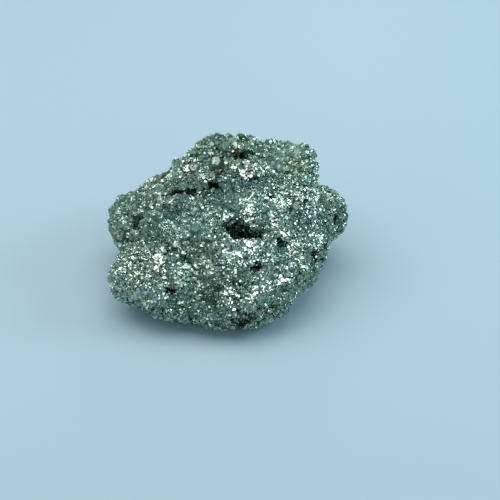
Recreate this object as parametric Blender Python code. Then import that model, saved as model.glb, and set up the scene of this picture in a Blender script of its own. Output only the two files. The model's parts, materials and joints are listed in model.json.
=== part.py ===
"""A hand-sized cluster of granular pyrite, lying on the one small flat spot of its underside.

The frame is +Z up, the side seen in the photograph faces -Y, and the origin is on the
surface that the cluster rests on, under the middle of its bounding box. Lengths in the
tables below are millimetres and angles are degrees.
"""

import math
import random

import bmesh
import bpy
from mathutils import Euler, Matrix, Quaternion, Vector, noise
from mathutils.kdtree import KDTree

MM = 0.001
NODE = "pyrite_cluster"

# The masses that the cluster grew as: name, centre, half sizes, tilts about X, Y and Z, boxiness.
# A boxiness of 2 is an ellipsoid, and a higher one has flatter faces and squarer corners.
MASSES = [
    ("front_slab", (0.6, -4.4, 8.8), (17.2, 12.3, 6.0), (20, -3, -4), 2.9),
    ("front_rim", (-2.6, -12.8, 6.6), (15.2, 5.3, 4.4), (10, 2, -6), 2.6),
    ("front_belly", (0.9, -13.8, 5.0), (11.0, 6.3, 5.0), (8, 0, 4), 2.5),
    ("keel", (0.3, 0.6, 4.8), (11.5, 11.5, 6.0), (3, 0, 0), 2.4),
    ("lower_left_lobe", (-17.7, -9.9, 7.4), (6.3, 6.2, 5.0), (5, 8, -14), 2.9),
    ("lower_left_keel", (-12.2, -12.9, 5.2), (8.3, 5.7, 4.1), (5, 12, -14), 2.4),
    ("left_lobe", (-19.2, 1.8, 10.2), (6.3, 6.8, 5.8), (14, -6, 14), 3.0),
    ("right_shoulder", (15.0, 3.6, 11.8), (8.9, 5.9, 4.9), (10, -4, -12), 2.9),
    ("right_flank", (10.4, -5.0, 8.6), (8.1, 7.7, 6.2), (15, -5, 28), 2.4),
    ("right_flank_edge", (15.2, -3.1, 9.6), (4.6, 4.3, 4.0), (14, -6, 30), 2.4),
    ("crest", (7.5, 3.0, 14.2), (11.8, 7.0, 4.8), (12, -4, -8), 2.4),
    ("saddle", (4.0, 8.6, 16.8), (7.0, 4.6, 4.6), (20, -2, -6), 2.4),
    ("ridge_left", (-12.5, 6.7, 13.5), (7.8, 5.7, 5.0), (8, -14, 12), 2.4),
    ("ridge_middle", (-5.1, 11.0, 15.8), (8.1, 6.1, 6.3), (10, -12, 15), 2.4),
    ("ridge_top", (-0.3, 13.4, 18.2), (7.5, 4.8, 5.0), (0, 4, 0), 2.5),
    ("ridge_right", (10.5, 13.2, 15.1), (7.4, 5.4, 5.8), (0, 4, -6), 2.9),
    ("back_foot", (0.0, 12.5, 8.4), (14.5, 6.8, 6.8), (-8, 0, 4), 2.4),
]

# Open vugs in those masses, in the same terms. Crystals line them.
VUGS = [
    ("main_vug", (2.2, -4.5, 14.4), (2.5, 2.3, 4.2), (32, 8, 10), 2.2),
    ("main_vug_left_corner", (0.5, -4.0, 15.2), (1.6, 1.2, 2.4), (32, 0, 30), 2.2),
    ("main_vug_tail", (5.8, -5.6, 14.8), (3.4, 1.5, 2.6), (35, 0, -8), 2.2),
    ("left_crease", (-18.9, -2.9, 14.6), (1.0, 2.1, 2.4), (38, 10, -12), 2.2),
]

# Pits and a groove where a few cubic crystals have dropped out: name, centre, half sizes, tilts.
PITS = [
    ("ridge_groove", (-9.4, 4.5, 17.4), (3.2, 0.8, 1.5), (45, 0, -10)),
    ("ridge_hole", (-3.6, 5.6, 17.8), (1.4, 1.0, 1.8), (45, 0, 0)),
    ("summit_hole_left", (-2.2, 10.3, 22.8), (0.9, 0.7, 1.4), (45, 0, 0)),
    ("summit_hole_right", (2.7, 10.9, 22.0), (1.8, 0.9, 1.5), (45, 0, 0)),
    ("right_pit", (9.9, -7.3, 13.9), (1.1, 0.9, 1.3), (30, 0, 0)),
    ("front_pit", (5.3, -12.1, 11.8), (1.5, 0.7, 1.2), (35, 0, -8)),
    ("rim_pit_left", (-11.4, -15.3, 8.9), (1.0, 1.0, 1.3), (40, 0, 0)),
    ("rim_pit_right", (-9.2, -16.9, 7.7), (1.3, 1.1, 1.3), (50, 0, 0)),
    ("belly_pit", (2.0, -19.3, 4.6), (1.1, 1.1, 1.2), (70, 0, 0)),
    ("flank_pit", (16.8, -9.0, 12.0), (1.0, 1.2, 1.3), (30, 25, 0)),
    ("back_pit", (-3.0, 18.3, 12.0), (1.6, 1.3, 1.5), (-80, 0, 0)),
    ("back_pit_low", (6.5, 17.6, 5.5), (1.2, 1.2, 1.5), (-100, 0, 0)),
    ("right_side_pit", (19.5, -1.5, 9.0), (1.1, 1.1, 1.4), (0, 100, 0)),
]
CRYSTALS_PER_PIT = 9
LOST_SIZES = (0.45, 0.75)  # against the pit's narrowest half size
LOST_ROOM = 0.6  # what one keeps clear of the pit's ends, against the same
LEAST_SCATTER = 0.2

# The crystals that stand out by their size: the place that they grow by, the way that one of
# their faces looks, the edge, and the form.
LARGE_CRYSTALS = [
    ("summit_plate", (0.2, 11.8, 23.3), (0.05, -0.45, 0.90), 3.0, "cube"),
    ("summit_round", (-3.8, 9.3, 21.6), (0.0, -0.75, 0.66), 3.2, "pyritohedron"),
    ("summit_small", (-6.5, 9.3, 21.6), (-0.2, -0.50, 0.85), 1.9, "pyritohedron"),
    ("ridge_end_bright", (7.5, 11.9, 20.6), (0.2, -0.60, 0.77), 1.8, "cube"),
    ("saddle_left", (3.3, 6.9, 20.9), (0.0, -0.40, 0.92), 2.4, "pyritohedron"),
    ("saddle_right", (5.4, 6.0, 20.7), (0.3, -0.50, 0.80), 2.2, "cube"),
    ("left_plate", (-21.2, -3.8, 14.0), (-0.25, -0.75, 0.60), 3.0, "cube"),
    ("left_plate_lower", (-22.9, -2.9, 12.6), (-0.60, -0.55, 0.58), 2.6, "cube"),
    ("plateau_pentagon", (-7.5, -3.5, 14.6), (0.1, -0.50, 0.86), 2.2, "pyritohedron"),
    ("middle_round", (-10.5, -5.7, 12.8), (-0.1, -0.60, 0.80), 2.8, "pyritohedron"),
    ("middle_round_lower", (-9.4, -7.5, 12.6), (0.2, -0.50, 0.84), 2.3, "pyritohedron"),
    ("middle_low", (-7.5, -9.2, 12.6), (0.0, -0.65, 0.76), 2.6, "pyritohedron"),
    ("front_foot", (-8.3, -17.2, 3.0), (-0.2, -0.80, 0.55), 2.4, "cube"),
    ("rim_bright", (-9.9, -14.7, 10.3), (0.0, -0.65, 0.76), 1.7, "cube"),
    ("right_dull", (12.4, -1.6, 18.1), (0.1, -0.55, 0.83), 1.9, "cube"),
]

BODY_VOXEL = 0.6
BODY_SMOOTHING = 5
BLOCK_SUBDIVISIONS = 4

# The relief on every face: broad swells, then knobs that meet in creases.
SWELL_SIZE, SWELL_HEIGHT = 7.0, 0.9
KNOB_SIZE, KNOB_HEIGHT = 3.4, 0.8
KNOB_MEAN = 0.5
RELIEF_FROM = 2.5

# The small crystals all over the surface, and the zones where they are coarser or finer:
# centre, reach, edge.
USUAL_EDGE = 1.1
CRYSTAL_ZONES = [
    ((-2, 11, 21), 10, 2.2),
    ((-14, 6, 16), 8, 1.7),
    ((-20, -3, 13), 6, 2.0),
    ((-7, -9, 13), 7, 1.9),
    ((-6, -19, 6), 6, 1.9),
    ((10, 17, 6), 9, 2.0),
    ((-9, 16, 5), 9, 1.8),
    ((-8, 1, 15), 6, 0.8),
    ((2, -4, 12), 5, 1.4),
]
ZONE_EDGE_SHARE = 0.5  # how much of a zone's reach its crystals take to change size
TRIES_PER_MM2 = 5
CRYSTAL_SPACING = 1.0
CRYSTAL_COVER = 0.85
SIZE_SPREAD = 0.3
CRYSTAL_SINK = 0.45
FORM_SHARES = {"cube": 0.6, "pyritohedron": 0.4}
LARGE_SINK = 0.3
ROOF_HEIGHT = 0.5
PYRITOHEDRON_SIZE = 0.8  # so that it is about as wide as the cube of the same edge
# The turn that brings one of a form's faces to look up.
FACE_UP = {"cube": Matrix.Identity(3), "pyritohedron": Matrix.Rotation(math.atan(2), 3, "X")}
LEAST_HEIGHT = 1.2
SEED = 7

FUSED_VOXEL = 0.3
PIT_VOXEL = 0.2
TRIANGLES = 9000


def clear_scene():
    for obj in list(bpy.data.objects):
        bpy.data.objects.remove(obj, do_unlink=True)


def rounded_block(bm, centre, half_sizes, tilts, boxiness):
    """A sphere's points, pushed out towards the corners of a tilted box."""
    made = bmesh.ops.create_icosphere(bm, subdivisions=BLOCK_SUBDIVISIONS, radius=1)
    turn = Euler([math.radians(a) for a in tilts]).to_matrix()
    for vert in made["verts"]:
        reach = sum(abs(c) ** boxiness for c in vert.co) ** (-1 / boxiness)
        local = Vector(c * reach * h for c, h in zip(vert.co, half_sizes))
        vert.co = (Vector(centre) + turn @ local) * MM


def object_of(bm, name):
    mesh = bpy.data.meshes.new(name)
    bm.to_mesh(mesh)
    bm.free()
    obj = bpy.data.objects.new(name, mesh)
    bpy.context.scene.collection.objects.link(obj)
    return obj


def fuse(obj, voxel):
    remesh = obj.modifiers.new("fuse", "REMESH")
    remesh.mode = "VOXEL"
    remesh.voxel_size = voxel * MM


def blocks_object(name, blocks, voxel):
    bm = bmesh.new()
    for _, *shape in blocks:
        rounded_block(bm, *shape)
    obj = object_of(bm, name)
    fuse(obj, voxel)
    return obj


def apply_modifiers(obj):
    graph = bpy.context.evaluated_depsgraph_get()
    mesh = bpy.data.meshes.new_from_object(obj.evaluated_get(graph))
    obj.modifiers.clear()
    obj.data = mesh


def bare_body():
    """The masses grown together."""
    body = blocks_object(NODE, MASSES, BODY_VOXEL)
    soften = body.modifiers.new("soften", "SMOOTH")
    soften.iterations = BODY_SMOOTHING
    apply_modifiers(body)
    return body


def relief(place):
    """How far the surface stands out at a place, both in millimetres."""
    swell = noise.noise(place / SWELL_SIZE) * SWELL_HEIGHT
    nearest = noise.voronoi(place / KNOB_SIZE)[0][0]
    return swell + (KNOB_MEAN - nearest) * KNOB_HEIGHT


def roughen(mesh):
    """Relief everywhere, dying out towards the spot that the cluster rests on."""
    normals = [vert.normal.copy() for vert in mesh.vertices]
    for vert, normal in zip(mesh.vertices, normals):
        place = vert.co / MM
        strength = min(1, max(0, place.z / RELIEF_FROM))
        vert.co += normal * relief(place) * strength * MM


def crystal_edge(place):
    """The usual edge of a small crystal at a place, both in millimetres."""
    edge, strongest = USUAL_EDGE, 0
    for centre, reach, zone_edge in CRYSTAL_ZONES:
        pull = min(1, (1 - (place - Vector(centre)).length / reach) / ZONE_EDGE_SHARE)
        if pull > strongest:
            edge, strongest = USUAL_EDGE + (zone_edge - USUAL_EDGE) * pull, pull
    return edge


def crystal_spots(mesh, rng):
    """Places on the surface with its normal and the crystal's edge there, clear of each other."""
    mesh.calc_loop_triangles()
    areas = [t.area for t in mesh.loop_triangles]
    tries = int(sum(areas) / MM**2 * TRIES_PER_MM2)
    spots = []
    for triangle in rng.choices(mesh.loop_triangles, areas, k=tries):
        a, b, c = (mesh.vertices[i].co for i in triangle.vertices)
        u, v = sorted((rng.random(), rng.random()))
        place = (a * u + b * (v - u) + c * (1 - v)) / MM
        if place.z > LEAST_HEIGHT:
            spots.append((place, triangle.normal.copy(), crystal_edge(place)))
    tree = KDTree(len(spots))
    for i, (place, _, _) in enumerate(spots):
        tree.insert(place, i)
    tree.balance()
    crowded = set()
    chosen = []
    for i, spot in enumerate(spots):
        if i not in crowded:
            crowded.update(j for _, j, _ in tree.find_range(spot[0], spot[2] * CRYSTAL_SPACING))
            chosen.append(spot)
    return chosen


def cube_points():
    return [Vector((x, y, z)) for x in (-1, 1) for y in (-1, 1) for z in (-1, 1)]


def pyritohedron_points():
    """The 20 corners of pyrite's own twelve-faced form: a cube's, and a roof's ridge over each face."""
    points = cube_points()
    for s in (-1, 1):
        for t in (-1, 1):
            out, along = s * (1 + ROOF_HEIGHT), t * (1 - ROOF_HEIGHT**2)
            points += [Vector((0, out, along)), Vector((out, along, 0)), Vector((along, 0, out))]
    return [point * PYRITOHEDRON_SIZE for point in points]


def faceted_form(points):
    """The corners and faces of the crystal with these corners."""
    bm = bmesh.new()
    for point in points:
        bm.verts.new(point)
    bmesh.ops.convex_hull(bm, input=bm.verts[:])
    bm.verts.index_update()
    corners = [v.co.copy() for v in bm.verts]
    faces = [[v.index for v in f.verts] for f in bm.faces]
    bm.free()
    return corners, faces


def random_turn(rng):
    return Quaternion([rng.gauss(0, 1) for _ in range(4)]).normalized().to_matrix()


def small_crystals(surface, rng):
    """Crystals of both forms all over the surface, one beside the next: centre, turn, half edge, form."""
    grown = []
    for place, normal, edge in crystal_spots(surface, rng):
        if rng.random() > CRYSTAL_COVER:
            continue
        half = edge / 2 * (1 + SIZE_SPREAD * rng.uniform(-1, 1))
        form = rng.choices(list(FORM_SHARES), FORM_SHARES.values())[0]
        grown.append((place - normal * half * CRYSTAL_SINK, random_turn(rng), half, form))
    return grown


def large_crystals(surface, rng):
    grown = []
    for _, near, look, edge, form in LARGE_CRYSTALS:
        found = surface.closest_point_on_mesh(Vector(near) * MM)
        spin = Matrix.Rotation(rng.uniform(0, math.tau), 3, "Z")
        turn = Vector(look).to_track_quat("Z", "Y").to_matrix() @ spin @ FACE_UP[form]
        centre = found[1] / MM - found[2] * edge / 2 * LARGE_SINK
        grown.append((centre, turn, edge / 2, form))
    return grown


def dropped_crystals(rng):
    """The room of the crystals that each pit has lost."""
    lost = []
    for _, middle, half_sizes, tilts in PITS:
        turn = Euler([math.radians(a) for a in tilts]).to_matrix()
        half = min(half_sizes)
        for _ in range(CRYSTALS_PER_PIT):
            room = [max(h - half * LOST_ROOM, LEAST_SCATTER) for h in half_sizes]
            aside = Vector([rng.uniform(-r, r) for r in room])
            size = half * rng.uniform(*LOST_SIZES)
            lost.append((Vector(middle) + turn @ aside, random_turn(rng), size, "cube"))
    return lost


def crystals_mesh(crystals):
    forms = {"cube": faceted_form(cube_points()), "pyritohedron": faceted_form(pyritohedron_points())}
    points = []
    faces = []
    for centre, turn, half, form in crystals:
        corners, sides = forms[form]
        first = len(points)
        points += [(centre + turn @ corner * half) * MM for corner in corners]
        faces += [[first + i for i in side] for side in sides]
    mesh = bpy.data.meshes.new("crystals")
    mesh.from_pydata(points, [], faces)
    return mesh


def grow(body, crystals):
    bm = bmesh.new()
    bm.from_mesh(body.data)
    bm.from_mesh(crystals_mesh(crystals))
    bm.to_mesh(body.data)
    bm.free()
    fuse(body, FUSED_VOXEL)
    apply_modifiers(body)


def cut_out(body, cutter):
    cutter.hide_render = True
    cutter.display_type = "WIRE"
    cut = body.modifiers.new(cutter.name, "BOOLEAN")
    cut.operation = "DIFFERENCE"
    cut.object = cutter
    fuse(body, FUSED_VOXEL)
    apply_modifiers(body)


def vugs_cutter():
    cutter = blocks_object("vugs", VUGS, FUSED_VOXEL)
    apply_modifiers(cutter)
    roughen(cutter.data)
    return cutter


def pits_cutter(rng):
    bm = bmesh.new()
    bm.from_mesh(crystals_mesh(dropped_crystals(rng)))
    cutter = object_of(bm, "pits")
    fuse(cutter, PIT_VOXEL)
    return cutter


def thin_out(obj, triangles):
    """Fewer, larger faces that keep the crystals' edges."""
    obj.data.calc_loop_triangles()
    collapse = obj.modifiers.new("thin_out", "DECIMATE")
    collapse.ratio = triangles / len(obj.data.loop_triangles)
    collapse.use_collapse_triangulate = True


def cut_rest_spot(obj):
    """The underside is flat where the cluster stands."""
    bm = bmesh.new()
    bm.from_mesh(obj.data)
    everything = bm.verts[:] + bm.edges[:] + bm.faces[:]
    cut = bmesh.ops.bisect_plane(
        bm, geom=everything, dist=1e-6, plane_co=(0, 0, 0), plane_no=(0, 0, 1), clear_inner=True
    )
    rim = [e for e in cut["geom_cut"] if isinstance(e, bmesh.types.BMEdge)]
    bmesh.ops.edgeloop_fill(bm, edges=rim)
    bmesh.ops.triangulate(bm, faces=bm.faces[:])
    bmesh.ops.recalc_face_normals(bm, faces=bm.faces[:])
    bm.to_mesh(obj.data)
    bm.free()


def centre_on_origin(mesh):
    for axis in (0, 1):
        reach = [v.co[axis] for v in mesh.vertices]
        shift = Vector((0, 0, 0))
        shift[axis] = -(min(reach) + max(reach)) / 2
        mesh.transform(Matrix.Translation(shift))


def pyrite_material():
    material = bpy.data.materials.new("pyrite")
    material.use_nodes = True
    shader = material.node_tree.nodes["Principled BSDF"]
    shader.inputs["Base Color"].default_value = (0.34, 0.38, 0.30, 1)
    shader.inputs["Metallic"].default_value = 1.0
    shader.inputs["Roughness"].default_value = 0.35
    return material


def main():
    clear_scene()
    rng = random.Random(SEED)
    cluster = bare_body()
    roughen(cluster.data)
    cut_out(cluster, vugs_cutter())
    grow(cluster, large_crystals(cluster, rng) + small_crystals(cluster.data, rng))
    cut_out(cluster, pits_cutter(rng))
    thin_out(cluster, TRIANGLES)
    apply_modifiers(cluster)
    cut_rest_spot(cluster)
    centre_on_origin(cluster.data)
    cluster.data.materials.clear()
    cluster.data.materials.append(pyrite_material())


main()
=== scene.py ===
import json
import math

import bpy
import numpy as np
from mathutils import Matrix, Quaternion, Vector, noise
from mathutils.bvhtree import BVHTree
from mathutils.kdtree import KDTree

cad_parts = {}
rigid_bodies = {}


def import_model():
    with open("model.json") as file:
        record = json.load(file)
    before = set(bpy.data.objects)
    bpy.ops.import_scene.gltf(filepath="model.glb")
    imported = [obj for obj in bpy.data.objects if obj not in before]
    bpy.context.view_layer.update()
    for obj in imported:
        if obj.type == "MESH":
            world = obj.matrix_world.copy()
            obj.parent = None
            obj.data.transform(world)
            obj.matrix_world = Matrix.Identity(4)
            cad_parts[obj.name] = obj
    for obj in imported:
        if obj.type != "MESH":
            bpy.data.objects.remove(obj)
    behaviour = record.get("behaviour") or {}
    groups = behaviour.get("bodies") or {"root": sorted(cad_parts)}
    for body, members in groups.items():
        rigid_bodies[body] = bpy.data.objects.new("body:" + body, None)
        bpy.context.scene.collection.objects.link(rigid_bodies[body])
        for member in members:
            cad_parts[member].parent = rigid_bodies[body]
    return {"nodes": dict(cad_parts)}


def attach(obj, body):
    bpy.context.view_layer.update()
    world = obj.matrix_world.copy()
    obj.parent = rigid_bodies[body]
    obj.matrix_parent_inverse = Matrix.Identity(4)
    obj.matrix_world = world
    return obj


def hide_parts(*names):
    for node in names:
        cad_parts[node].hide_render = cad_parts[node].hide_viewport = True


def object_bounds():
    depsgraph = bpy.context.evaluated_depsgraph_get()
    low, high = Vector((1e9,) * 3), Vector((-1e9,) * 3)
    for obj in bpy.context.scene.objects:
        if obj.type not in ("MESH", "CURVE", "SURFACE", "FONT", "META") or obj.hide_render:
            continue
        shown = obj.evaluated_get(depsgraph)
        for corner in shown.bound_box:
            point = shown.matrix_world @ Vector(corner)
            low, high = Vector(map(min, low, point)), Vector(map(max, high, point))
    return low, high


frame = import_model()
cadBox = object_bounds()
mm = 0.001

# Small helpers


def deselectAll():
    bpy.ops.object.select_all(action="DESELECT")


def makeActive(obj):
    deselectAll()
    obj.select_set(True)
    bpy.context.view_layer.objects.active = obj


def applyModifier(obj, kind, **settings):
    modifier = obj.modifiers.new(kind.lower(), kind)
    for key, value in settings.items():
        setattr(modifier, key, value)
    makeActive(obj)
    bpy.ops.object.modifier_apply(modifier=modifier.name)


def pointsOf(mesh):
    points = np.empty(len(mesh.vertices) * 3)
    mesh.vertices.foreach_get("co", points)
    return points.reshape(-1, 3)


def normalsOf(mesh):
    normals = np.empty(len(mesh.vertices) * 3)
    mesh.vertex_normals.foreach_get("vector", normals)
    return normals.reshape(-1, 3)


def storeValues(mesh, name, values, domain="POINT"):
    attribute = mesh.attributes.new(name, "FLOAT", domain)
    attribute.data.foreach_set("value", np.asarray(values, np.float32))


def finishPiece(piece):
    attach(piece, "root")


# Camera: the photograph's view, taken from above the front edge

cameraValues = {
    "imageWidth": 500,  # pixels
    "pixelsPerMm": 4.84,
    "lens": 60,
    "elevation": 46,  # degrees
    "aim": (4.53, -5.0, 10.0),  # mm, the point at the middle of the picture
    "nearest": 0.001,  # m, where the view begins
}


def makeCamera():
    v = cameraValues
    bpy.ops.object.camera_add()
    camera = bpy.context.object
    camera.data.lens = v["lens"]
    halfView = camera.data.sensor_width / 2 / camera.data.lens
    distance = v["imageWidth"] / 2 / halfView / v["pixelsPerMm"]
    tilt = math.radians(v["elevation"])
    back = Vector((0, -math.cos(tilt), math.sin(tilt)))
    place = Vector(v["aim"]) + back * distance
    camera.location = place * mm
    camera.rotation_mode = "QUATERNION"
    camera.rotation_quaternion = (-back).to_track_quat("-Z", "Y")
    camera.data.clip_start = v["nearest"]
    bpy.context.scene.camera = camera
    print("camera placed")
    return place


# Materials

shaderValues = {
    "darkFace": (0.15, 0.24, 0.21, 1),
    "usualFace": (0.47, 0.695, 0.615, 1),
    "silverFace": (0.74, 0.82, 0.77, 1),
    "brassFace": (0.80, 0.72, 0.42, 1),
    "tealFace": (0.26, 0.50, 0.45, 1),
    "oliveFace": (0.38, 0.42, 0.26, 1),
    "blueFace": (0.16, 0.36, 0.50, 1),
    "tarnish": (0.22, 0.38, 0.325, 1),
    "edgeTint": (0.45, 0.60, 0.55, 1),  # of a face seen along its surface
    # colour of the painted shade in hollows, in the gaps between crystals and along grain seams
    "paintedShadeColour": (0.05, 0.07, 0.052, 1),
    "usualTone": 0.45,  # where a face has its usual colour: below it is darker, above it silvery
    "roughest": 0.34,
    "smoothest": 0.12,
    "tarnishRoughness": 0.55,
    "tarnishMetal": 0.45,  # how metallic full tarnish still is
    "blueTo": 0.04,  # share of the faces that have a blue tarnish, a teal one or an olive one
    "tealTo": 0.30,
    "oliveFrom": 0.72,
    "hueShare": 0.75,  # how far such a face takes that colour
    "grainScale": 3800,  # the finest grains, about 0.2 mm
    "grainTilt": 0.95,  # how far they lean
    "seamWidth": 0.2,  # of a grain
    "seamDarkness": 0.85,
}


def addNode(tree, kind, **settings):
    node = tree.nodes.new(kind)
    for key, value in settings.items():
        setattr(node, key, value)
    return node


def connect(tree, socket, source):
    if isinstance(source, bpy.types.NodeSocket):
        tree.links.new(source, socket)
    else:
        socket.default_value = source


def mixColour(tree, amount, first, second):  # the node's colours are its sockets 6, 7 and 2
    node = addNode(tree, "ShaderNodeMix", data_type="RGBA")
    for socket, source in zip((0, 6, 7), (amount, first, second)):
        connect(tree, node.inputs[socket], source)
    return node.outputs[2]


def mapValue(tree, source, fromLow, fromHigh, toLow, toHigh):
    node = addNode(tree, "ShaderNodeMapRange")
    for socket, value in zip(node.inputs, (source, fromLow, fromHigh, toLow, toHigh)):
        connect(tree, socket, value)
    return node.outputs[0]


def doMath(tree, operation, first, second):
    node = addNode(tree, "ShaderNodeMath", operation=operation)
    for socket, source in zip(node.inputs, (first, second)):
        connect(tree, socket, source)
    return node.outputs[0]


def doVector(tree, operation, first, second=None, scale=None):
    node = addNode(tree, "ShaderNodeVectorMath", operation=operation)
    connect(tree, node.inputs[0], first)
    if second is not None:
        connect(tree, node.inputs[1], second)
    if scale is not None:
        connect(tree, node.inputs["Scale"], scale)
    return node.outputs[0]


def attributeOf(tree, name):
    return addNode(tree, "ShaderNodeAttribute", attribute_name=name).outputs["Fac"]


def startGroup(name, inputs, outputs):
    group = bpy.data.node_groups.new(name, "ShaderNodeTree")
    for label, kind in inputs:
        group.interface.new_socket(label, in_out="INPUT", socket_type="NodeSocket" + kind)
    for label, kind in outputs:
        group.interface.new_socket(label, in_out="OUTPUT", socket_type="NodeSocket" + kind)
    return group, addNode(group, "NodeGroupInput").outputs, addNode(group, "NodeGroupOutput").inputs


def makeTintGroup():
    v = shaderValues
    inputs = [(name, "Float") for name in ("Tone", "Tint", "Warm", "Dull", "PaintedShadeAmount")]
    outputs = [("Color", "Color"), ("Roughness", "Float"), ("Metallic", "Float")]
    group, given, result = startGroup("pyriteTint", inputs, outputs)
    low = mapValue(group, given["Tone"], 0, v["usualTone"], 0, 1)
    high = mapValue(group, given["Tone"], v["usualTone"], 1, 0, 1)
    usual = v["usualFace"]
    for operation, limit, name in (
        ("LESS_THAN", "tealTo", "tealFace"),
        ("LESS_THAN", "blueTo", "blueFace"),
        ("GREATER_THAN", "oliveFrom", "oliveFace"),
    ):
        chosen = doMath(group, operation, given["Tint"], v[limit])
        share = doMath(group, "MULTIPLY", chosen, v["hueShare"])
        usual = mixColour(group, share, usual, v[name])
    colour = mixColour(group, low, v["darkFace"], usual)
    colour = mixColour(group, high, colour, v["silverFace"])
    colour = mixColour(group, given["Warm"], colour, v["brassFace"])
    colour = mixColour(group, given["Dull"], colour, v["tarnish"])
    # painted shade: the colour goes towards the shade colour where the shade amount is high
    colour = mixColour(group, given["PaintedShadeAmount"], colour, v["paintedShadeColour"])
    group.links.new(colour, result["Color"])
    smooth = mapValue(group, given["Tone"], 0, 1, v["roughest"], v["smoothest"])
    rough = doMath(group, "MULTIPLY", given["Dull"], v["tarnishRoughness"])
    group.links.new(doMath(group, "MAXIMUM", smooth, rough), result["Roughness"])
    group.links.new(mapValue(group, given["Dull"], 0, 1, 1, v["tarnishMetal"]), result["Metallic"])
    return group


def makeGrainGroup():  # each cell's face leans its own way, with a seam of painted shade round it
    v = shaderValues
    inputs = [("Vector", "Vector"), ("Broken", "Float")]
    outputs = [("Normal", "Vector"), ("Seam", "Float")]
    group, given, result = startGroup("fineGrains", inputs, outputs)
    cells = addNode(group, "ShaderNodeTexVoronoi")
    edges = addNode(group, "ShaderNodeTexVoronoi", feature="DISTANCE_TO_EDGE")
    for node in (cells, edges):
        node.inputs["Scale"].default_value = v["grainScale"]
        group.links.new(given["Vector"], node.inputs["Vector"])
    middle = (0.5, 0.5, 0.5)  # of the cells' random colours, which set how they lean
    lean = doVector(group, "SUBTRACT", cells.outputs["Color"], middle)
    amount = doMath(group, "MULTIPLY", given["Broken"], v["grainTilt"])
    lean = doVector(group, "SCALE", lean, scale=amount)
    surface = addNode(group, "ShaderNodeNewGeometry").outputs["Normal"]
    normal = doVector(group, "NORMALIZE", doVector(group, "ADD", surface, lean))
    group.links.new(normal, result["Normal"])
    seam = mapValue(group, edges.outputs["Distance"], 0, v["seamWidth"], v["seamDarkness"], 0)
    group.links.new(doMath(group, "MULTIPLY", seam, given["Broken"]), result["Seam"])
    return group


def makePyriteMaterial(tintGroup, grainGroup):
    material = bpy.data.materials.new("pyrite")
    material.use_nodes = True
    tree = material.node_tree
    shader = tree.nodes["Principled BSDF"]
    shader.inputs["Specular Tint"].default_value = shaderValues["edgeTint"]
    place = addNode(tree, "ShaderNodeTexCoord").outputs["Object"]
    tint = addNode(tree, "ShaderNodeGroup", node_tree=tintGroup)
    grain = addNode(tree, "ShaderNodeGroup", node_tree=grainGroup)
    tree.links.new(place, grain.inputs["Vector"])
    for name in ("Tone", "Tint", "Warm", "Dull"):
        tree.links.new(attributeOf(tree, name.lower()), tint.inputs[name])
    tree.links.new(attributeOf(tree, "broken"), grain.inputs["Broken"])
    # painted shade: the stored shade of hollows and gaps, or the grain seams' shade, whichever is
    # darker
    paintedShade = doMath(tree, "MAXIMUM", attributeOf(tree, "paintedShade"), grain.outputs["Seam"])
    tree.links.new(paintedShade, tint.inputs["PaintedShadeAmount"])
    tree.links.new(tint.outputs["Color"], shader.inputs["Base Color"])
    tree.links.new(tint.outputs["Roughness"], shader.inputs["Roughness"])
    tree.links.new(tint.outputs["Metallic"], shader.inputs["Metallic"])
    tree.links.new(grain.outputs["Normal"], shader.inputs["Normal"])
    print("material made")
    return material


# The body: the mass that the crystals grow from. It lies a little inside the CAD solid, whose
# surface the crystals' tips reach.

bodyValues = {
    "noiseSeed": 2,  # so that the same lumps come out each time
    "merge": 0.001,  # mm: corners of the solid this near become one
    "voxel": 0.33,  # mm
    "softening": 2,  # smoothing steps
    "inset": 0.12,  # mm inside the solid
    "lumpSize": 3.2,  # mm
    "lumpCrease": 1.1,  # mm deep
    "lumpCreaseWidth": 0.30,  # of a lump
    "lumpBend": 1.1,  # mm, how far the lumps' outlines wander
    "lumpCreaseUsual": 0.6,  # how much of that depth a crease has
    "lumpCreaseChange": 0.7,  # how much this differs from place to place
    "lumpCreaseChangeSize": 7,  # mm
    "knobSize": 0.9,  # mm
    "knobHeight": 0.22,  # mm
    "knobEdge": 0.5,  # from a knob's middle, against its size: inside it rises, outside it sinks
    "grain": 0.07,  # mm, how far a point moves at random
    "grainSeed": 3,
    "restFrom": 0.2,  # mm above the surface that it stands on, below which no point moves
    "restOver": 1.2,  # mm, over which the relief then grows to its full height
    "fillLevel": 75,  # percent of the points round a pit that lie below what it is filled up to
    "hollowEdge": 1.6,  # against a hollow's half width: points this near may lie in it
    "hollowBend": 0.5,  # how far its outline wanders
    "hollowBendSize": 0.9,  # mm
    "directions": 48,  # that a point looks out in, for how shut in it is
    "leastFacing": 0.15,  # cosine of a direction and the point's normal
    "lookFrom": 0.15,  # mm off the surface
    "sight": 6.0,  # mm
    "farWall": 0.5,  # how much less a wall counts at the end of that sight
    "shutFrom": 0.20,  # share of the directions that are blocked, on open ground
    "shutTo": 0.70,  # and deep in a hollow
    "tone": 0.1,
    "tint": 0.5,
    "darker": 0.5,  # how much more painted shade the body gets than the crystals that grow on it
}

# Pits of the solid that crystals have closed up again: place and reach in mm, and how far

fills = {
    "rimPitRight": ((-9.2, -16.8, 7.8), 2.2, 0.8),
    "bellyPit": ((2.0, -19.3, 4.6), 2.8, 0.8),
    "vugTailEnd": ((8.3, -5.7, 14.2), 2.2, 0.6),
}

# Grooves and holes: from and to in mm, half width and depth in mm, and how much painted shade
# they get, which below zero takes painted shade off. A swelling is one with its depth below zero.

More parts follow.
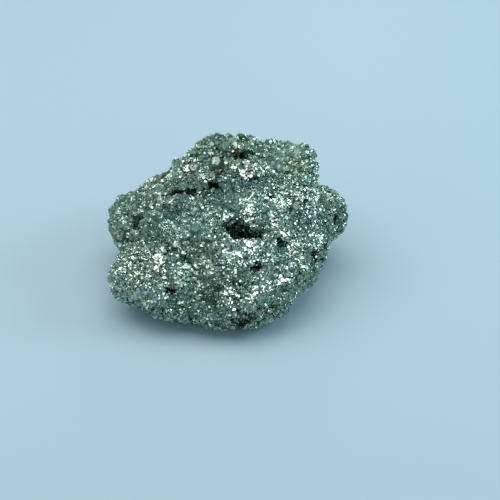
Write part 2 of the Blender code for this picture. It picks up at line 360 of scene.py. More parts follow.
hollows = {
    "ridgeGroove": ((-11.3, 4.3, 18.1), (-9.1, 4.2, 18.3), 1.0, 1.8, 1.1),
    "ridgeGrooveRight": ((-9.3, 4.4, 18.2), (-6.8, 4.9, 17.5), 1.15, 1.4, 1.1),
    "ridgeGrooveLip": ((-9.9, 3.9, 18.4), (-8.5, 3.9, 18.3), 0.9, 1.2, 1.1),
    "ridgeGrooveLeft": ((-13.8, 4.0, 17.4), (-11.2, 4.3, 18.1), 0.7, 0.9, 0.4),
    "ridgeHole": ((-4.3, 6.3, 17.4), (-3.2, 6.6, 17.2), 0.9, 0.7, 0.8),
    "summitHoleLeft": ((-3.0, 10.2, 22.2), (-1.2, 10.6, 22.4), 1.1, 1.7, 1.1),
    "summitHoleRight": ((1.6, 10.8, 22.2), (4.4, 11.0, 21.6), 0.95, 1.2, 0.7),
    "vug": ((0.6, -3.1, 13.4), (4.6, -4.2, 13.2), 2.0, 1.0, -0.1),
    "vugTail": ((4.4, -4.3, 13.2), (6.4, -4.9, 13.4), 1.6, 1.6, 0.5),
    "frontPit": ((4.4, -11.0, 11.6), (6.4, -11.4, 11.3), 0.8, 0.7, 0.4),
    "rimPitLeft": ((-11.7, -15.3, 9.5), (-10.7, -15.6, 9.2), 1.2, 1.5, 0.8),
    "bellyPit": ((1.6, -19.2, 4.7), (2.4, -19.3, 4.5), 2.2, -0.3, -0.8),
    "middleCrevice": ((-8.4, -9.8, 12.0), (-7.2, -10.5, 11.8), 0.7, 1.0, 0.8),
    "rimCrevice": ((-8.6, -17.4, 6.6), (-7.0, -18.9, 2.6), 0.8, 0.9, 0.2),
    "leftCrease": ((-19.1, -0.9, 15.1), (-18.7, -3.6, 13.9), 1.4, 1.2, 0.4),
    "leftCreaseLow": ((-19.3, -5.0, 12.9), (-22.6, -5.3, 11.0), 1.8, -0.7, -0.6),
    "saddleGroove": ((4.6, 5.2, 20.0), (9.0, 6.4, 20.0), 0.8, 0.7, 0.0),
    "rightGroove": ((9.4, 6.6, 20.1), (16.5, 7.6, 18.0), 0.9, 1.0, 0.0),
    "middleDip": ((-6.9, -10.2, 12.3), (-1.8, -8.6, 13.2), 1.5, 0.3, -0.5),
    "flankPit": ((16.2, -8.4, 11.1), (17.0, -8.6, 10.8), 0.9, 0.6, 0.3),
    "crestHole": ((12.4, -1.3, 18.6), (12.7, -1.9, 18.4), 0.6, 1.2, 0.7),
    "slopeHole": ((8.2, 2.2, 19.2), (9.0, 1.8, 19.1), 0.7, 1.0, 0.6),
    "tipCrease": ((22.0, 0.2, 15.8), (22.3, -1.6, 13.6), 0.7, 0.9, 0.7),
    "lowerLeftSwelling": ((-23.0, -9.5, 7.5), (-21.0, -14.5, 6.5), 5.0, -1.0, 0.0),
    "leftLobeSwelling": ((-23.9, 2.5, 14.6), (-23.9, -1.4, 12.2), 4.0, -0.9, 0.0),
    "ridgeLeftSwelling": ((-12.0, 11.0, 18.7), (-10.5, 11.5, 19.8), 3.0, -0.6, 0.0),
    "ridgeLeftDip": ((-16.6, 8.8, 17.0), (-14.9, 9.1, 18.0), 3.0, 0.5, 0.0),
    "rightEndSwelling": ((18.1, 11.0, 18.2), (18.2, 10.1, 16.2), 2.6, -0.6, 0.0),
    "summitSwelling": ((-6.1, 13.6, 21.4), (-4.6, 14.6, 22.6), 3.5, -0.9, 0.0),
    "ridgeEndSwelling": ((13.5, 15.6, 20.5), (16.6, 15.2, 20.0), 3.0, -0.6, 0.0),
    "middleRoundEdge": ((-12.4, -5.2, 12.9), (-12.0, -7.4, 12.4), 0.6, 0.8, 0.7),
}


def fillPits(points, normals):
    for centre, reach, share in fills.values():
        near = np.linalg.norm(points - np.array(centre), axis=1) < reach
        outward = normals[near].sum(axis=0)
        outward /= np.linalg.norm(outward)
        heights = points[near] @ outward
        below = np.percentile(heights, bodyValues["fillLevel"]) - heights
        points[near] += outward * np.maximum(0, below)[:, None] * share


def carveHollows(points, normals):
    v = bodyValues
    shade = np.zeros(len(points))
    for start, end, width, depth, dark in hollows.values():
        start, along = np.array(start), np.array(end) - np.array(start)
        share = np.clip((points - start) @ along / (along @ along), 0, 1)
        gap = np.linalg.norm(points - start - share[:, None] * along, axis=1)
        for index in np.flatnonzero(gap < width * v["hollowEdge"]):
            bend = noise.noise(Vector(points[index]) / v["hollowBendSize"])
            gap[index] *= 1 + v["hollowBend"] * bend
        fall = np.clip(1 - gap / width, 0, 1)
        fall = fall * fall * (3 - 2 * fall)  # smooth at the edge and at the bottom
        inward = -(normals * fall[:, None]).sum(axis=0)
        points += inward / np.linalg.norm(inward) * (fall * depth)[:, None]
        # painted shade in the hollow
        shade += fall * dark
    return np.clip(shade, -1, 1)


def creaseDepths(points):
    v = bodyValues
    creases = np.empty(len(points))
    for index, point in enumerate(points):
        place = Vector(point)
        change = noise.noise(place / v["lumpCreaseChangeSize"])
        strength = max(0, v["lumpCreaseUsual"] + v["lumpCreaseChange"] * change)
        place += noise.noise_vector(place / v["lumpSize"]) * v["lumpBend"]
        near = noise.voronoi(place / v["lumpSize"])[0]
        creases[index] = max(0, 1 - (near[1] - near[0]) / v["lumpCreaseWidth"]) * strength
    return creases


def knobHeights(points):
    v = bodyValues
    middles = np.array([noise.voronoi(Vector(point) / v["knobSize"])[0][0] for point in points])
    return v["knobEdge"] - middles


def makeBody():
    v = bodyValues
    noise.seed_set(v["noiseSeed"])
    body = bpy.data.objects.new("pyriteBody", frame["nodes"]["pyrite_cluster"].data.copy())
    bpy.context.scene.collection.objects.link(body)
    makeActive(body)
    bpy.ops.object.mode_set(mode="EDIT")
    bpy.ops.mesh.select_all(action="SELECT")
    bpy.ops.mesh.remove_doubles(threshold=v["merge"] * mm)
    bpy.ops.object.mode_set(mode="OBJECT")
    applyModifier(body, "REMESH", mode="VOXEL", voxel_size=v["voxel"] * mm)
    applyModifier(body, "SMOOTH", iterations=v["softening"])
    points = pointsOf(body.data) / mm
    normals = normalsOf(body.data)
    free = np.clip((points[:, 2] - v["restFrom"]) / v["restOver"], 0, 1)[:, None]
    rest = points.copy()
    fillPits(points, normals)
    shade = carveHollows(points, normals)
    moved = knobHeights(points) * v["knobHeight"] - v["inset"]
    moved -= creaseDepths(points) * v["lumpCrease"]
    points += normals * moved[:, None]
    points += np.random.default_rng(v["grainSeed"]).normal(0, v["grain"], points.shape)
    points = rest + (points - rest) * free
    body.data.vertices.foreach_set("co", (points * mm).ravel())
    body.data.update()
    body.data.shade_flat()
    print("body:", len(body.data.polygons), "faces")
    return body, shade


def shutIn(body):  # 0 on open ground, 1 deep in a hollow
    v = bodyValues
    mesh = body.data
    points = pointsOf(mesh) / mm
    normals = normalsOf(mesh)
    tree = BVHTree.FromPolygons(points.tolist(), [tuple(face.vertices) for face in mesh.polygons])
    blocked = np.zeros(len(points))
    looked = np.zeros(len(points))
    count = v["directions"]
    for number in range(count):  # directions spread evenly over a sphere
        height = 1 - 2 * (number + 0.5) / count
        around = number * math.pi * (3 - math.sqrt(5))
        width = math.sqrt(1 - height * height)
        direction = np.array((width * math.cos(around), width * math.sin(around), height))
        facing = normals @ direction
        seeing = np.flatnonzero(facing > v["leastFacing"])
        starts = points[seeing] + normals[seeing] * v["lookFrom"]
        for index, start in zip(seeing, starts.tolist()):
            distance = tree.ray_cast(start, direction, v["sight"])[3]
            looked[index] += facing[index]
            if distance is not None:
                blocked[index] += facing[index] * (1 - v["farWall"] * distance / v["sight"])
    share = blocked / np.maximum(looked, 1e-6)
    print("body's hollows found")
    return np.clip((share - v["shutFrom"]) / (v["shutTo"] - v["shutFrom"]), 0, 1)


def finishBody(body, depths, material):
    v = bodyValues
    *_, dull, warm, _ = zoneValues(pointsOf(body.data) / mm)
    looks = {
        "tone": np.full(len(depths), v["tone"]),
        "warm": warm,
        "dull": dull,
        # painted shade: darker in hollows, and the body darker still in the gaps between crystals
        "paintedShade": np.clip(depths + v["darker"], 0, 1),
        "broken": np.ones(len(depths)),
        "tint": np.full(len(depths), v["tint"]),
    }
    for name, values in looks.items():
        storeValues(body.data, name, values)
    body.data.materials.clear()
    body.data.materials.append(material)
    finishPiece(body)
    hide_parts("pyrite_cluster")
    print("body finished")


# Zones of the surface: centre and reach in mm, then the small crystals' size in mm, the large
# crystals' number on a square mm and size in mm, how tarnished they are, how brassy and how bright,
# which is partly their own lustre and partly painted light and shade, lighter or darker zone by
# zone

usualZone = (0.50, 0.10, 0.9, 0.20, 0.08, 0.1)  # the same, for where no zone reaches
usualWeight = 0.25
zoneWeight = 2  # at a zone's centre
zones = {
    "rightMass": ((12, -1, 17), 12, 0.48, 0.06, 0.8, 0.0, 0.03, 0.36),
    "rightTip": ((22, 2, 13), 6, 0.46, 0.10, 0.9, 0.15, 0.10, 0.2),
    "plateau": ((-9, 0, 16), 7, 0.32, 0.02, 0.6, 0.55, 0.0, 0.38),
    "dullSlope": ((1, 3, 18), 5, 0.32, 0.03, 0.7, 0.85, 0.03, 0.15),
    "underVug": ((-1, -7, 13), 5, 0.46, 0.20, 1.1, 0.2, 0.1, 0.1),
    "brownValley": ((-5, -8.5, 13), 4, 0.46, 0.10, 0.9, 0.3, 0.4, -0.3),
    "middleRounds": ((-9, -8, 13), 6, 0.46, 0.40, 1.4, 0.25, 0.05, 0.15),
    "lowerLeft": ((-18, -12, 11), 7, 0.48, 0.12, 0.9, 0.0, 0.28, 0.5),
    "frontMiddle": ((3, -9, 13), 7, 0.50, 0.20, 1.1, 0.0, 0.03, 0.7),
    "leftLobe": ((-21, 0, 14), 7, 0.48, 0.08, 0.9, 0.95, 0.3, -0.1),
    "ridgeLeft": ((-13, 7, 18), 8, 0.50, 0.10, 0.9, 0.70, 0.35, 0.42),
    "summit": ((-2, 11, 22), 8, 0.86, 0.40, 1.7, 0.70, 0.3, -0.12),
    "summitGold": ((2, 10.5, 22), 3, 0.60, 0.20, 1.2, 0.2, 0.9, 0.0),
    "ridgeRight": ((11, 12, 19), 7, 0.56, 0.12, 1.0, 0.95, 0.28, -0.06),
    "ridgeRightGold": ((14, 11, 19), 2.5, 0.55, 0.10, 0.9, 0.3, 0.9, 0.0),
    "holeGold": ((-4, 7.5, 18.5), 2.5, 0.55, 0.10, 0.9, 0.3, 0.9, 0.0),
    "saddle": ((4, 6, 20), 4, 0.54, 0.30, 1.0, 0.1, 0.1, 0.35),
    "rim": ((0, -15, 10), 9, 0.48, 0.15, 1.0, 0.0, 0.12, -0.1),
    "frontFace": ((2, -19, 4), 9, 0.46, 0.10, 0.9, 0.3, 0.2, 0.35),
    "rightUnder": ((18, -8, 8), 7, 0.46, 0.10, 0.9, 0.2, 0.15, 0.15),
}

# Clusters whose faces lie the same way and flash together, and shaded ones: centre and reach in mm,
# what they add to the tone, a painted highlight above zero and painted shade below, and the share
# of their crystals that is turned to the light

accentFade = 2  # an accent is at full strength as far as half its reach
accents = {
    "saddleGlint": ((4.0, 6.1, 21.2), 2.4, 0.8, 0.9),
    "crestGlint": ((4.2, -1.6, 16.6), 2.1, 0.6, 0.8),
    "vugFrontGlint": ((4.5, -7.6, 13.6), 1.5, 0.5, 0.6),
    "frontGlint": ((1.4, -10.2, 13.0), 2.2, 0.3, 0.4),
    "rimGlintLeft": ((0.6, -17.2, 9.4), 1.9, 0.6, 0.7),
    "rimGlintRight": ((4.9, -16.9, 9.2), 1.9, 0.6, 0.7),
    "rimGlintFar": ((7.9, -14.6, 9.9), 1.6, 0.4, 0.3),
    "bellyGlint": ((11.1, -13.1, 11.2), 2.0, 0.6, 0.8),
    "middleLeftGlint": ((-13.5, -10.2, 12.5), 2.2, 0.4, 0.5),
    "ridgeGlint": ((-7.4, 7.4, 20.8), 3.4, 0.5, 0.3),
    "summitFrontGlint": ((-1.6, 7.6, 20.7), 3.4, 0.5, 0.35),
    "tipGlint": ((18.5, 0.7, 17.4), 2.6, 0.2, 0.2),
    "tipGlintLow": ((19.3, -3.5, 12.6), 1.4, 0.4, 0.5),
    "tipShade": ((23.6, 0.0, 14.6), 2.8, -0.5, 0.0),
    "rimShade": ((-2.8, -17.0, 9.0), 2.9, -0.6, 0.0),
}


def flashLook(place):  # the way that a face looks when it throws the top light into the camera
    light = Vector(lights["topBox"][0]) / mm
    return (cameraPlace - Vector(place)).normalized() + (light - Vector(place)).normalized()


def accentValues(places):
    paintedGlintAndShade, turned = np.zeros((2, len(places)))
    for centre, reach, tone, share in accents.values():
        distance = np.linalg.norm(places - np.array(centre), axis=1)
        near = np.clip(accentFade - accentFade * distance / reach, 0, 1)
        # painted highlight or painted shade added to the tone
        paintedGlintAndShade += near * tone
        turned += near * share
    return paintedGlintAndShade, turned


def zoneValues(places):
    total = np.tile(np.array(usualZone) * usualWeight, (len(places), 1))
    weights = np.full(len(places), usualWeight)
    for centre, reach, *values in zones.values():
        distance = np.linalg.norm(places - np.array(centre), axis=1)
        weight = zoneWeight * np.clip(1 - distance / reach, 0, 1)
        total += weight[:, None] * np.array(values)
        weights += weight
    return (total / weights[:, None]).T


# Crystal forms: a cube with some of its corners cut off, or with a roof cut on each face, in edit
# mode. How many of each are made, and how far out the cuts are against half the cube's width.

formValues = {
    "cube": {"count": 3, "roofs": None, "corners": ()},
    "chippedCube": {"count": 5, "roofs": None, "corners": (1.2,)},
    "twiceChippedCube": {"count": 3, "roofs": None, "corners": (1.1, 1.35)},
    "cornerCutCube": {"count": 2, "roofs": None, "corners": (1.32,) * 8},
    "pyritohedron": {"count": 3, "roofs": 0.86, "corners": ()},
    "roofedCube": {"count": 2, "roofs": 0.97, "corners": ()},
}
wornSources = {  # the worn forms, for larger crystals, and what each is made from
    "wornPentagon": "pyritohedron",
    "wornCube": "twiceChippedCube",
    "wornRoof": "roofedCube",
}
cutValues = {
    "unevenness": 0.07,  # of how far out the cuts are
    "widthUnevenness": 1.5,  # of the cube's three widths, against that
    "wornCount": 3,  # of each worn form
    "wornBevel": 0.09,  # against half the cube's width, as the next one is
    "merge": 0.01,  # corners this near become one
}


def cutCrystal(name, form, bevel, rng):
    v = cutValues
    deselectAll()
    bpy.ops.mesh.primitive_cube_add(size=2)
    crystal = bpy.context.object
    crystal.name = name
    most = v["widthUnevenness"]
    crystal.scale = 1 + rng.uniform(-most, most, 3) * v["unevenness"]
    bpy.ops.object.transform_apply(location=False, rotation=False, scale=True)
    signs = [(s, t) for s in (-1, 1) for t in (-1, 1)]
    planes = []
    if form["roofs"]:  # the twelve planes of a pyritohedron
        roofs = [c for s, t in signs for c in ((0, s, 2 * t), (s, 2 * t, 0), (2 * s, 0, t))]
        planes += [(Vector(c).normalized(), form["roofs"]) for c in roofs]
    tips = rng.permutation([(s, t, u) for s, t in signs for u in (-1, 1)])
    planes += [(Vector(tip).normalized(), reach) for tip, reach in zip(tips, form["corners"])]
    bpy.ops.object.mode_set(mode="EDIT")
    for normal, distance in planes:
        place = normal * (distance * (1 + rng.uniform(-1, 1) * v["unevenness"]))
        bpy.ops.mesh.select_all(action="SELECT")
        bpy.ops.mesh.bisect(plane_co=place, plane_no=normal, use_fill=True, clear_outer=True)
    bpy.ops.mesh.select_all(action="SELECT")
    if bevel:
        bpy.ops.mesh.bevel(offset=bevel, segments=1, clamp_overlap=True)
        bpy.ops.mesh.remove_doubles(threshold=v["merge"])
    bpy.ops.mesh.normals_make_consistent(inside=False)
    bpy.ops.object.mode_set(mode="OBJECT")
    shape = {
        "corners": pointsOf(crystal.data),
        "loops": np.concatenate([face.vertices for face in crystal.data.polygons]),
        "sides": np.array([len(face.vertices) for face in crystal.data.polygons]),
    }
    bpy.data.objects.remove(crystal)
    return shape


def makeForms(rng):
    v = cutValues
    forms = {}
    for name, form in formValues.items():
        forms[name] = [cutCrystal(name, form, 0, rng) for _ in range(form["count"])]
    for name, source in wornSources.items():
        form = formValues[source]
        forms[name] = [cutCrystal(name, form, v["wornBevel"], rng) for _ in range(v["wornCount"])]
    for name, shapes in forms.items():
        triangles = [int((shape["sides"] - 2).sum()) for shape in shapes]
        print("form", name, triangles, "triangles")
    return forms


# The crystals

crystalValues = {
    "seed": 31,
    "tries": 330000,  # places looked at, over the whole surface
    "smallRange": (0.55, 1.4),  # of a small crystal's size, against its zone's
    "largeRange": (0.7, 1.4),  # of a large one's
    "largeWhere": 0.2,  # how shut in a place may be for a large one
    "lowest": 0.4,  # mm above the surface that the cluster stands on
    "leastInPit": 0.5,  # size at the bottom of a pit, against the usual
    "emptiedFrom": 0.45,  # how shut in a place is from which most of its crystals are left out
    "emptied": 0.6,  # share left out there
    "emptiedInHollow": 1.1,  # share left out in a carved hollow, against that hollow's painted shade
    "pitShades": (0.25, 0.82),  # how much painted shade a crystal in a pit gets, against the pit's
    "spacing": 0.63,  # of two crystals' centres, against their mean width
    "largeRoom": (0.34, 0.30),  # round a named crystal, against its width and a neighbour's
    "lift": (-0.4, 0.35),  # of a crystal's centre above the body, against its half size
    "dullLift": 0.75,  # how much lower the highest ones sit where they are tarnished
    "cleanShare": (0.3, 0.06),  # of the crystals that are clean and bright, from no tarnish to full
    "cleanTone": 0.3,  # how much brighter these are where the others are tarnished
    "toneSpread": (1.2, 1.4),  # the two numbers of the beta spread that the tones are drawn from
    "brassSpread": 1.6,  # how brassy a crystal may be, against its zone
    "tarnishSpread": (0.3, 1.2),  # how tarnished it may be, against its zone
    "sinkAbove": 0.4,  # mm: the half size from which crystals sit deeper
    "sinkShare": 1.0,  # how much deeper, against the rest of the half size
    "fewerPlanes": 0.3,  # mm: the half size below which the plainer forms are used
    "patches": 650,  # in which crystals lie the same way
    "patchShare": 0.68,  # of the crystals that turn a face outwards, as their patch does
    "patchLean": 0.35,  # how far a patch leans off the surface
    "looseness": 0.13,  # how far a crystal turns off its patch
    "gapFrom": 1.0,  # height above the body, against the half size, below which painted shade darkens a crystal
    "gapTo": -0.2,  # and where it is darkest
    "gapDarkness": 1.0,
    "dullGap": 0.7,  # how much of that darkness tarnish takes off
    "faceTones": 0.45,  # how much the tone differs from face to face
    "overTheBox": 0.3,  # mm that crystals may reach past the CAD model's box
    "reach": 1.6,  # of a crystal, against its half size
    "fineForms": {"cube": 0.6, "chippedCube": 0.4},  # the share of each form
    "coarseForms": {
        "cube": 0.15,
        "chippedCube": 0.1,
        "twiceChippedCube": 0.2,
        "pyritohedron": 0.33,
        "roofedCube": 0.08,
        "cornerCutCube": 0.14,
    },
    "wornFrom": 0.5,  # mm: the half size from which the worn forms are used
    "wornForms": {"wornPentagon": 0.5, "wornCube": 0.35, "wornRoof": 0.15},
    "brokenAt": (0.2, 0.45),  # mm: half sizes between which faces go from broken to whole
    "mostBroken": 0.42,
    "leastBroken": 0.28,
}

# The pieces that the small crystals are joined into, each by the middle of its region in mm

regions = {
    "rightCrystals": (16, 0, 14),
    "frontRightCrystals": (8, -12, 10),
    "frontLeftCrystals": (-8, -14, 8),
    "leftCrystals": (-19, -5, 10),
    "ridgeCrystals": (2, 11, 20),
    "ridgeLeftCrystals": (-12, 7, 17),
    "middleCrystals": (-3, -2, 16),
    "backCrystals": (0, 17, 8),
    "undersideCrystals": (0, 0, 0),
}


def scatterPlaces(body, rng):
    v = crystalValues
    body.data.calc_loop_triangles()
    corners = np.empty(len(body.data.loop_triangles) * 3, np.int32)
    body.data.loop_triangles.foreach_get("vertices", corners)
    corners = corners.reshape(-1, 3)
    points = pointsOf(body.data) / mm
    a, b, c = (points[corners[:, k]] for k in range(3))
    areas = np.linalg.norm(np.cross(b - a, c - a), axis=1)
    picked = rng.choice(len(corners), v["tries"], p=areas / areas.sum())
    u, w = np.sort(rng.random((2, v["tries"], 1)), axis=0)
    places = a[picked] * u + b[picked] * (w - u) + c[picked] * (1 - w)
    normals = normalsOf(body.data)[corners[picked]].mean(axis=1)
    normals /= np.linalg.norm(normals, axis=1)[:, None]
    return places, normals, corners[picked, 0], v["tries"] / (areas.sum() / 2)


def treeOf(places):
    tree = KDTree(len(places))
    for index, place in enumerate(places):
        tree.insert(place, index)
    tree.balance()
    return tree


def keepApart(places, sizes, first, taken, rng):
    spacing = crystalValues["spacing"]
    ownRoom, neighbourRoom = crystalValues["largeRoom"]
    tree = treeOf(places)
    crowded = np.zeros(len(places), bool)
    for place, size in taken:
        for _, index, gap in tree.find_range(place, size):
            if gap < size * ownRoom + sizes[index] * neighbourRoom:
                crowded[index] = True
    kept = []
    for index in np.argsort(rng.random(len(sizes)) - first):
        if crowded[index]:
            continue
        kept.append(index)
        for _, other, gap in tree.find_range(places[index], sizes[index] * spacing):
            if gap < (sizes[index] + sizes[other]) / 2 * spacing:
                crowded[other] = True
    return np.array(kept)


def patchTurns(places, normals, halves, turned, rng):
    v = crystalValues
    turns = [Quaternion(q).normalized() for q in rng.normal(size=(len(places), 4))]
    aligned = (rng.random(len(places)) < v["patchShare"]) | (halves > v["wornFrom"])
    patches = places[rng.choice(len(places), v["patches"])]
    lean = rng.normal(size=(v["patches"], 3)) * v["patchLean"]
    spin = rng.uniform(0, math.tau, v["patches"])
    tree = treeOf(patches)
    for index in np.flatnonzero(aligned):
        patch = tree.find(places[index])[1]
        look = Vector(normals[index] + lean[patch] + rng.normal(size=3) * v["looseness"])
        own = Quaternion((0, 0, 1), spin[patch] + rng.normal() * v["looseness"])
        turns[index] = look.to_track_quat("Z", "Y") @ own
    for index in np.flatnonzero(rng.random(len(places)) < turned):
        look = flashLook(places[index]).normalized() + Vector(rng.normal(size=3) * v["looseness"])
        anySpin = Quaternion((0, 0, 1), rng.uniform(0, math.tau))
        turns[index] = look.to_track_quat("Z", "Y") @ anySpin
    return np.array([turn.to_matrix() for turn in turns])


def joinCrystals(name, crystals, forms, material, rng):
    v = crystalValues
    points, loops, sides, values, paintedShade, faceTone = [], [], [], [], [], []
    first = 0
    variants = [(form, index) for form in forms for index in range(len(forms[form]))]
    for number, (form, index) in enumerate(variants):
        own = crystals["variant"] == number
        count = int(own.sum())
        if not count:
            continue
        shape = forms[form][index]
        size = len(shape["corners"])
        turned = np.einsum("nij,kj->nki", crystals["turn"][own], shape["corners"])
        placed = turned * crystals["half"][own, None, None] + crystals["centre"][own, None]
        points.append(placed.reshape(-1, 3))
        height = np.einsum("nki,ni->nk", turned, crystals["outward"][own])
        height += crystals["above"][own, None]
        tone, _, tarnish, _ = crystals["values"][own].T
        # painted shade: each crystal darker low on its sides in the gaps between crystals, or its
        # pit's painted shade
        strength = v["gapDarkness"] * (1 - v["dullGap"] * np.clip(tarnish, 0, 1))
        shade = np.interp(height, (v["gapTo"], v["gapFrom"]), (1, 0)) * strength[:, None]
        paintedShade.append(np.maximum(shade, crystals["depth"][own, None]).ravel())
        tones = rng.uniform(-1, 1, (count, len(shape["sides"]))) * v["faceTones"]
        faceTone.append((tone[:, None] + tones).ravel())
        starts = first + np.arange(count) * size
        loops.append((shape["loops"][None] + starts[:, None]).ravel())
        sides.append(np.tile(shape["sides"], count))
        values.append(np.repeat(crystals["values"][own], size, axis=0))
        first += count * size
    points, loops, sides, values, paintedShade, faceTone = (
        np.concatenate(part) for part in (points, loops, sides, values, paintedShade, faceTone)
    )
    points[:, 2] = np.maximum(points[:, 2], 0)
    triangles = int((sides - 2).sum())
    mesh = bpy.data.meshes.new(name)
    mesh.vertices.add(len(points))
    mesh.vertices.foreach_set("co", (points * mm).ravel())
    mesh.loops.add(len(loops))
    mesh.loops.foreach_set("vertex_index", loops.astype(np.int32))
    mesh.polygons.add(len(sides))
    mesh.polygons.foreach_set("loop_start", (np.cumsum(sides) - sides).astype(np.int32))
    mesh.update(calc_edges=True)
    mesh.shade_flat()
    storeValues(mesh, "tone", np.clip(faceTone, 0, 1), "FACE")
    storeValues(mesh, "tint", rng.random(len(faceTone)), "FACE")
    storeValues(mesh, "paintedShade", paintedShade)
    for attribute, column in zip(("warm", "dull", "broken"), values.T[1:]):
        storeValues(mesh, attribute, column)
    mesh.materials.append(material)
    piece = bpy.data.objects.new(name, mesh)
    bpy.context.scene.collection.objects.link(piece)
    print(name, len(crystals["half"]), "crystals,", triangles, "triangles")
    finishPiece(piece)
    return triangles


# The crystals that stand out by their size: place in mm, the way that a face looks (none where it
# flashes in the light), width, form, tone, how tarnished they are and how brassy

largeCrystals = {
    "summitPlate": ((-0.6, 11.9, 23.5), (-0.12, -0.60, 0.79), 2.8, "wornPentagon", 0.3, 0.8, 0.0),
    "summitBright": ((2.0, 11.8, 24.1), None, 1.5, "wornCube", 0.9, 0.0, 0.1),
    "summitLeftBright": ((-3.6, 10.8, 22.8), None, 1.1, "wornCube", 1.0, 0.0, 0.0),
    "summitRound": ((-3.4, 8.6, 22.1), (-0.1, -0.35, 0.93), 3.4, "wornPentagon", 0.8, 0.3, 0.2),
    "summitSmall": ((-6.3, 7.9, 21.1), (-0.2, -0.45, 0.87), 2.9, "wornPentagon", 0.7, 0.4, 0.1),
    "summitEnd": ((3.3, 8.0, 21.9), (0.0, -0.45, 0.89), 2.8, "wornPentagon", 0.7, 0.3, 0.0),
    "holeGlint": ((4.2, 11.2, 21.9), (-0.1, -0.35, 0.93), 1.1, "wornRoof", 0.9, 0.0, 0.8),
    "holeEdge": ((-2.3, 7.6, 20.6), (0.1, -0.30, 0.95), 1.6, "wornRoof", 0.6, 0.2, 0.9),
    "ridgeEndBright": ((7.3, 11.8, 21.2), None, 1.2, "wornCube", 0.9, 0.0, 0.0),
    "saddleLeft": ((3.3, 6.2, 21.0), None, 1.7, "wornPentagon", 0.9, 0.1, 0.0),
    "saddleRight": ((5.4, 6.0, 20.9), None, 1.4, "wornRoof", 0.9, 0.0, 0.0),
    "leftPlate": ((-21.5, -4.2, 12.8), (-0.45, -0.45, 0.77), 2.2, "wornCube", 1.0, 0.3, 0.35),
    "leftPlateLower": ((-23.1, -2.4, 12.9), (-0.60, -0.40, 0.69), 1.7, "wornCube", 1.0, 0.3, 0.35),
    "leftBright": ((-18.5, -4.4, 13.5), None, 1.5, "wornCube", 0.95, 0.0, 0.1),
    "plateauPentagon": ((-7.5, -3.5, 14.6), (0.1, -0.50, 0.86), 2.4, "wornPentagon", 0.5, 0.7, 0.0),
    "middleRound": ((-10.6, -6.6, 13.1), (0.05, -0.10, 0.99), 3.3, "wornPentagon", 0.85, 0.15, 0.0),
    "middleRoundLower": ((-9.0, -8.2, 12.8), None, 2.0, "wornPentagon", 0.9, 0.2, 0.0),
    "middleRoundLeft": ((-13.4, -7.2, 12.4), None, 1.6, "wornCube", 0.9, 0.1, 0.0),
    "middleLow": ((-9.4, -12.6, 11.0), None, 2.0, "wornPentagon", 0.8, 0.2, 0.0),
    "middleLowRight": ((-6.6, -12.7, 10.8), None, 2.1, "wornPentagon", 0.8, 0.2, 0.0),
    "frontFoot": ((-8.3, -17.2, 3.0), (-0.2, -0.80, 0.55), 1.9, "wornCube", 0.5, 0.3, 0.1),
    "rimBright": ((-9.9, -14.7, 10.3), None, 1.2, "wornCube", 0.95, 0.0, 0.0),
    "crestTeal": ((13.3, -1.7, 18.4), (0.2, -0.45, 0.87), 1.6, "wornCube", 0.5, 0.6, 0.0),
}
largeSink = {"wornPentagon": 0.58, "wornCube": 0.72, "wornRoof": 0.5}  # against the half width
largeBroken = ((0.1, 0.6), (0.5, 0.22))  # how broken their faces are, from clean to tarnished
pentagonUp = Quaternion((1, 0, 0), math.atan(0.5))  # turns one of the twelve faces to look up


def makeLargeCrystals(body, variantNumbers, rng):
    keys = ("centre", "turn", "outward", "above", "half", "depth", "variant", "values")
    rows = []
    for near, look, size, form, tone, dull, warm in largeCrystals.values():
        _, place, normal, _ = body.closest_point_on_mesh(Vector(near) * mm)
        spin = Quaternion((0, 0, 1), rng.uniform(0, math.tau))
        turn = Vector(look or flashLook(near)).to_track_quat("Z", "Y") @ spin
        if form == "wornPentagon":
            turn = turn @ pentagonUp
        sink = largeSink[form]
        centre = place / mm - normal * size / 2 * sink
        variant = rng.choice(variantNumbers[form])
        values = (tone, warm, dull, np.interp(dull, *largeBroken))
        rows.append((centre, turn.to_matrix(), normal, -sink, size / 2, 0, variant, values))
    return {key: np.array(column) for key, column in zip(keys, zip(*rows))}


def chooseVariants(halves, variantNumbers, rng):
    v = crystalValues
    fine, worn = halves < v["fewerPlanes"], halves > v["wornFrom"]
    chosen = np.zeros(len(halves), int)
    for which, kind in ((fine, "fineForms"), (~fine & ~worn, "coarseForms"), (worn, "wornForms")):
        names = rng.choice(list(v[kind]), int(which.sum()), p=list(v[kind].values()))
        for index, name in zip(np.flatnonzero(which), names):
            numbers = variantNumbers[name]
            chosen[index] = numbers[rng.integers(len(numbers))]
    return chosen


